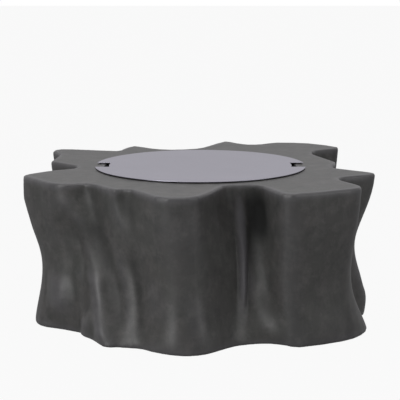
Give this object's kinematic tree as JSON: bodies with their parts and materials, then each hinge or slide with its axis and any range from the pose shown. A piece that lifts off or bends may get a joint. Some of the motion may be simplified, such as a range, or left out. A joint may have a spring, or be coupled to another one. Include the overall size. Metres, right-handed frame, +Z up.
{
  "type": "fire pit table",
  "caption": "Low stump-shaped cast fire pit table with deeply folded flanks, a flat deck and a round brushed lid with two hand notches over a gas burner pan.",
  "frame": {"origin": "on the floor under the centre of the lid, which is the centre of the whole outline", "axes": "+Z up, +Y towards the rear where the controls are, +X to the right of someone facing the front"},
  "size_m": [1.2861, 1.4224, 0.541],
  "materials": {
    "cast_stone": "matte",
    "lid_steel": "satin",
    "silicone": "matte",
    "black_pan": "matte",
    "burner_steel": "satin",
    "pipe_steel": "satin",
    "lava": "matte",
    "plain_steel": "satin",
    "brass": "satin",
    "hose_steel": "satin",
    "panel_steel": "satin",
    "screw_steel": "satin",
    "valve_alloy": "matte",
    "black_plastic": "satin",
    "button_chrome": "polished",
    "ceramic": "satin",
    "lead_silicone": "satin",
    "copper": "satin",
    "black_pipe": "satin"
  },
  "bodies": {
    "table": {"table_shell": "cast_stone", "burner_pan": "black_pan", "burner_star": "burner_steel", "burner_nipple": "pipe_steel", "burner_locknuts": "pipe_steel", "lava_rocks": "lava", "heat_shield": "plain_steel", "shield_spacers": "pipe_steel", "air_mixer": "brass", "gas_elbow": "brass", "gas_hose": "hose_steel", "hose_nuts": "brass", "control_panel": "panel_steel", "panel_screws": "screw_steel", "valve_body": "valve_alloy", "igniter_body": "black_plastic", "spark_electrode": "ceramic", "thermocouple": "pipe_steel", "sensor_clamp": "plain_steel", "igniter_lead": "lead_silicone", "thermocouple_lead": "copper", "inlet_pipe": "black_pipe", "inlet_bracket": "plain_steel", "bracket_screws": "screw_steel", "inlet_fitting": "brass", "inlet_locknut": "brass"},
    "lid": {"lid_plate": "lid_steel", "lid_pads": "silicone", "lid_tabs": "lid_steel"},
    "valve_plug": {"valve_plug": "brass"},
    "knob": {"control_knob": "black_plastic", "valve_stem": "pipe_steel"},
    "igniter_button": {"igniter_button": "button_chrome"}
  },
  "joints": [
    {"name": "lid_lift", "type": "slide", "parent": "table", "child": "lid", "axis": [0, 0, 1], "range_m": [0, 0.3]},
    {"name": "valve_turn", "type": "hinge", "parent": "table", "child": "valve_plug", "pos_m": [-0.162, 0.423, 0.27], "axis": [0, 1, 0], "range_deg": [0, 180]},
    {"name": "knob_push", "type": "slide", "parent": "valve_plug", "child": "knob", "axis": [0, -1, 0], "range_m": [0, 0.004], "stiffness_N_per_m": 500, "springref_m": -0.002},
    {"name": "igniter_push", "type": "slide", "parent": "table", "child": "igniter_button", "axis": [0, -1, 0], "range_m": [0, 0.004], "stiffness_N_per_m": 400, "springref_m": -0.002}
  ]
}
